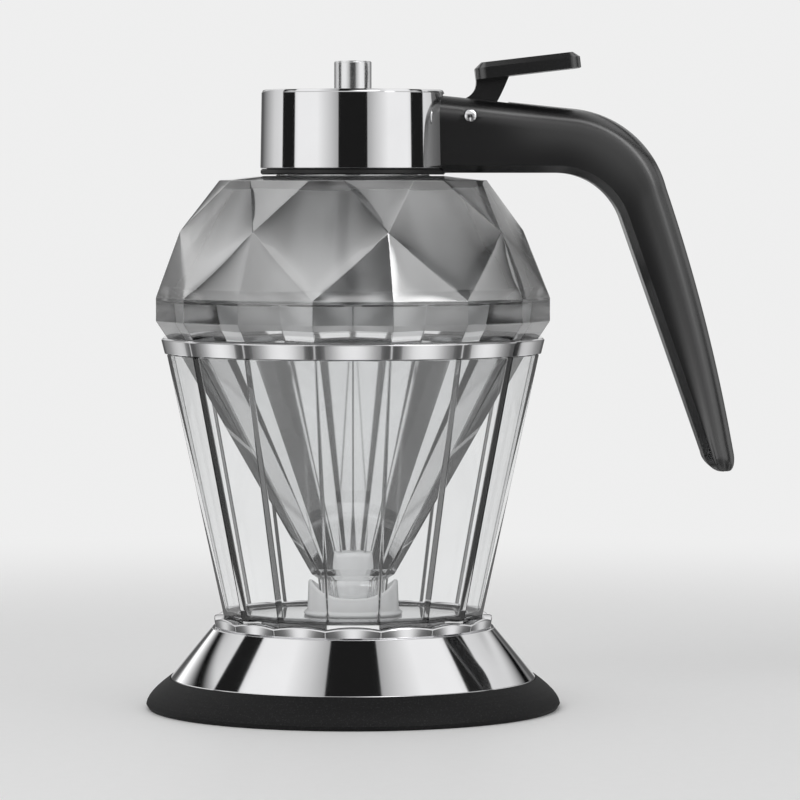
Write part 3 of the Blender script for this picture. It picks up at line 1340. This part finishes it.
class DISPENSER_OT_handle(bpy.types.Operator):
    """Builds the satin black handle and dresses its pivot pin"""

    bl_idname = "dispenser.handle"
    bl_label = "Handle"

    def execute(self, context):
        look = context.scene.dispenser_finish
        size = context.scene.dispenser_handle
        lever = context.scene.dispenser_lever
        handle = self.body(size)
        # the cutters reach past the handle's faces, so that each cut goes right through
        under, over = size.root_low_z - 0.002, size.root_top_z + 0.004
        carve(handle, rod_shape(size.root_x, (0, 0, under), (0, 0, over), 128))
        carve(handle, rod_shape(size.notch_r, (0, 0, under), (0, 0, size.notch_z), 128))
        half = size.slot_w / 2
        carve(handle, box_shape((0.0, -half, size.slot_z), (size.slot_end_x, half, over)))
        x, z = lever.pivot_x, lever.pivot_z
        for side in (-1, 1):
            outside = side * (size.root_w / 2 + 0.001)
            seat = side * (size.root_w / 2 - lever.pin_sunk)
            carve(handle, rod_shape(lever.pin_r + lever.pin_seat, (x, seat, z), (x, outside, z)))
            carve(handle, rod_shape(lever.pin_r + lever.pin_gap, (x, 0, z), (x, outside, z)))
        place(handle, "lid", "handle_plastic", satin_black("Handle satin black", look), "handle")
        dress("pivot_pin", bright_metal("Pin steel", look, 0.12))
        return {"FINISHED"}

    def section(self, depth, width, size, crown):
        """Outline across the handle: rounded at the back, bevelled inside, with sides that swell."""
        steps = 8
        r = min(size.back_round, depth * 0.62)
        b = min(size.inner_bevel, depth * 0.24)
        edge = width / 2 - crown
        left = []
        for i in range(steps + 1):
            a = math.radians(84 * i / steps)
            left.append((r - r * math.cos(a), r - edge - r * math.sin(a)))
        for i in range(1, steps + 1):
            share = i / steps
            left.append((r + (depth - b - r) * share, -edge - crown * (1 - (1 - share) ** 2)))
        left.append((depth, b - width / 2))
        right = [(d, -y) for d, y in reversed(left)]
        return left + right

    def body(self, size):
        """The handle's solid from inside the cap's edge to its rounded tip."""
        slope = math.tan(size.slope)
        start_x = size.root_x / 2
        cap_wall = 0.0011
        cap_r = size.root_x + cap_wall
        end_z = size.tip_z + size.tip_round
        steps = (14, 30, 26)
        outer = rail(
            Vector((start_x, size.root_top_z + (cap_r - start_x) * slope)),
            Vector((size.corner_out_x, size.root_top_z - (size.corner_out_x - cap_r) * slope)),
            Vector((size.tip_x, end_z)), size.bend_out_r, size.bow, steps)
        inner = rail(
            Vector((start_x, size.root_low_z)), Vector((size.corner_in_x, size.root_low_z)),
            Vector((size.tip_x - size.tip_depth, end_z)), size.bend_in_r, 0.0, steps)
        rings = []
        for i, (o, n) in enumerate(zip(outer, inner)):
            width = size.root_w + (size.grip_w - size.root_w) * ease((i - steps[0]) / steps[1])
            rings.append(self.station(o, n, width, size, self.crown(o, size)))
        away = (outer[-1] - outer[-2]).normalized()
        across = (inner[-1] - outer[-1]).normalized()
        # how far the back, the inner edge and the two sides draw in at the tip
        back_in, edge_in, sides_in = 0.002, 0.0035, 0.0052
        tip_steps = 14
        for i in range(1, tip_steps + 1):
            a = math.radians(88 * i / tip_steps)
            gone = 1 - math.cos(a)
            step = away * size.tip_round * math.sin(a)
            rings.append(self.station(
                outer[-1] + step + across * back_in * gone, inner[-1] + step - across * edge_in * gone,
                size.grip_w - sides_in * gone, size, size.side_crown))
        bm = bmesh.new()
        join_rings(bm, rings)
        return finish_mesh(bm, "handle_moulded", 28.0)

    def crown(self, at, size):
        """Swell of the sides, which starts past the screws in the handle's root."""
        start, run = size.slot_end_x - 0.008, 0.016
        return size.side_crown * ease((at.x - start) / run)

    def station(self, outer, inner, width, size, crown):
        """The outline at one place along the handle, from a point of its back to one of its inner edge."""
        depth = (inner - outer).length
        u = (inner - outer) / depth
        outline = self.section(depth, width, size, crown)
        return [Vector((outer.x + u.x * d, y, outer.y + u.y * d)) for d, y in outline]


class DISPENSER_OT_lever(bpy.types.Operator):
    """Builds the thumb lever with its fork"""

    bl_idname = "dispenser.lever"
    bl_label = "Lever"

    def execute(self, context):
        look = context.scene.dispenser_finish
        size = context.scene.dispenser_lever
        plate_h = size.plate_side + size.plate_crown
        flat = size.plate_l - size.plate_inset
        plate_z = size.plate_top_z - flat * math.sin(size.plate_slope) - plate_h * math.cos(size.plate_slope)
        rise = plate_z - size.pivot_z
        plate_x = size.pivot_x + rise * size.stem_lean
        lever = self.side(size, rise)
        carve(lever, self.barrel(size), "UNION")
        carve(lever, self.plate(size, plate_x, plate_z), "UNION")
        reach = 0.003
        carve(lever, box_shape((-0.004, -size.prong_gap, size.fork_z - reach),
                               (size.prong_x, size.prong_gap, size.fork_z + reach)))
        x, z = size.pivot_x, size.pivot_z
        carve(lever, rod_shape(size.pin_r + size.pin_gap, (x, -0.01, z), (x, 0.01, z)))
        soften(lever, 0.0003, 3, 32.0)
        place(lever, "lever", "lever_plastic", satin_black("Lever satin black", look), "lever")
        return {"FINISHED"}

    def slab(self, outline, width, name):
        """A flat outline in the plane of the handle, given thickness across it."""
        bm = bmesh.new()
        join_rings(bm, [[Vector((x, y, z)) for x, z in outline] for y in (-width / 2, width / 2)])
        return finish_mesh(bm, name, 30.0)

    def side(self, size, rise):
        """Knuckle, arm and curved stem, up to the thumb plate."""
        pivot = Vector((size.pivot_x, size.pivot_z))
        knuckle = Vector((0.0, size.fork_z))
        outline = []
        for i in range(13):
            a = math.radians(72 + 198 * i / 12)
            outline.append(knuckle + Vector((math.cos(a), math.sin(a))) * size.fork_r)
        b = size.barrel_r
        outline.append(pivot + Vector((0, -b * 0.8)))
        outline += bend(pivot + Vector((0.8, -0.6)) * b, pivot + Vector((0.72, 0.18)) * rise,
                        pivot + Vector((1.09, 1.14)) * rise, 14)
        outline += list(reversed(bend(pivot + Vector((-0.8, 1.2)) * b, pivot + Vector((0.22, 0.56)) * rise,
                                      pivot + Vector((size.stem_lean, 1.02)) * rise, 14)))
        outline.append(pivot + Vector((-b, b * 0.35)))
        return self.slab([(p.x, p.y) for p in outline], size.arm_w, "lever_moulded")

    def barrel(self, size):
        """Round boss at the pivot."""
        return rod_shape(size.barrel_r, (size.pivot_x, -size.arm_w / 2, size.pivot_z),
                         (size.pivot_x, size.arm_w / 2, size.pivot_z), 96)

    def plate(self, size, plate_x, plate_z):
        """Thumb plate with rounded corners and a bevelled top."""

        def ring(inset, z):
            out = []
            r = size.plate_corner - inset
            length_in, width_in = size.plate_l - size.plate_corner, size.plate_w / 2 - size.plate_corner
            for cx, cy, first in ((length_in, width_in, 0), (size.plate_corner, width_in, 90),
                                  (size.plate_corner, -width_in, 180), (length_in, -width_in, 270)):
                for i in range(9):
                    a = math.radians(first + 90 * i / 8)
                    out.append(Vector((cx + r * math.cos(a), cy + r * math.sin(a), z)))
            return out

        top = size.plate_side + size.plate_crown
        rings = [ring(0.0, 0.0), ring(0.0, size.plate_side), ring(size.plate_inset, top)]
        tilt = Matrix.Rotation(-size.plate_slope, 4, "Y")
        move = Matrix.Translation((plate_x, 0, plate_z))
        bm = bmesh.new()
        join_rings(bm, [[move @ tilt @ p for p in r] for r in rings])
        return finish_mesh(bm, "cutter", 30.0)


class DISPENSER_OT_valve(bpy.types.Operator):
    """Builds the stopper and dresses the valve rod"""

    bl_idname = "dispenser.valve"
    bl_label = "Valve"

    def execute(self, context):
        look = context.scene.dispenser_finish
        dress("valve_rod", bright_metal("Rod steel", look, 0.08))
        place(self.stopper(context.scene.dispenser_bottle), "valve", "stopper_silicone",
              frosted("Stopper silicone", look, 0.0, 0.4), "stopper")
        return {"FINISHED"}

    def stopper(self, size):
        """Soft bullet with a rounded head, which tapers into the throat below its seat."""
        throat_z = size.cone_z - size.throat_drop
        low_z, top_z = size.spout_z + 0.0002, throat_z + size.stopper_h
        r = size.throat_r
        tail = bend(Vector((r - 0.00085, low_z + 0.0007)), Vector((r - 0.0001, low_z + 0.0035)),
                    Vector((r - 0.00012, throat_z - 0.0001)), 8)
        head = bend(Vector((r + 0.0002, throat_z + 0.0006)), Vector((r + 0.0005, throat_z + 0.0012)),
                    Vector((size.stopper_r, top_z - 0.0025)), 6)
        profile = [(0.0, low_z), (r - 0.0016, low_z), (r - 0.00105, low_z + 0.0003)]
        profile += [(p.x, p.y) for p in tail + head]
        corner = size.stopper_round
        for i in range(7):
            a = math.radians(90 * i / 6)
            profile.append((size.stopper_r + corner * (math.cos(a) - 1), top_z + corner * (math.sin(a) - 1)))
        profile.append((0.0, top_z))
        bm = bmesh.new()
        turn(bm, profile, 96)
        return finish_mesh(bm, "stopper_moulded", 35.0)


class DISPENSER_PT_panel(bpy.types.Panel):
    """Lists the pieces of the dispenser"""

    bl_label = "Syrup dispenser"
    bl_idname = "DISPENSER_PT_panel"
    bl_space_type = "VIEW_3D"
    bl_region_type = "UI"
    bl_category = "Dispenser"

    def draw(self, context):
        for step in STEPS:
            self.layout.operator(step.bl_idname)


SETTINGS = {
    "dispenser_stand": StandSizes,
    "dispenser_bottle": BottleSizes,
    "dispenser_handle": HandleSizes,
    "dispenser_lever": LeverSizes,
    "dispenser_finish": FinishSettings,
    "dispenser_studio": StudioSettings,
}
STEPS = (
    DISPENSER_OT_studio,
    DISPENSER_OT_base,
    DISPENSER_OT_cup,
    DISPENSER_OT_bottle,
    DISPENSER_OT_lid,
    DISPENSER_OT_handle,
    DISPENSER_OT_lever,
    DISPENSER_OT_valve,
)


def register():
    for kind in (*SETTINGS.values(), *STEPS, DISPENSER_PT_panel):
        bpy.utils.register_class(kind)
    for name, kind in SETTINGS.items():
        setattr(bpy.types.Scene, name, PointerProperty(type=kind))


def unregister():
    for name in SETTINGS:
        delattr(bpy.types.Scene, name)
    for kind in reversed((*SETTINGS.values(), *STEPS, DISPENSER_PT_panel)):
        bpy.utils.unregister_class(kind)


def main():
    register()
    bpy.ops.dispenser.studio()
    bpy.ops.dispenser.base()
    bpy.ops.dispenser.cup()
    bpy.ops.dispenser.bottle()
    bpy.ops.dispenser.lid()
    bpy.ops.dispenser.handle()
    bpy.ops.dispenser.lever()
    bpy.ops.dispenser.valve()
    bpy.context.view_layer.update()


if __name__ == "__main__":
    main()
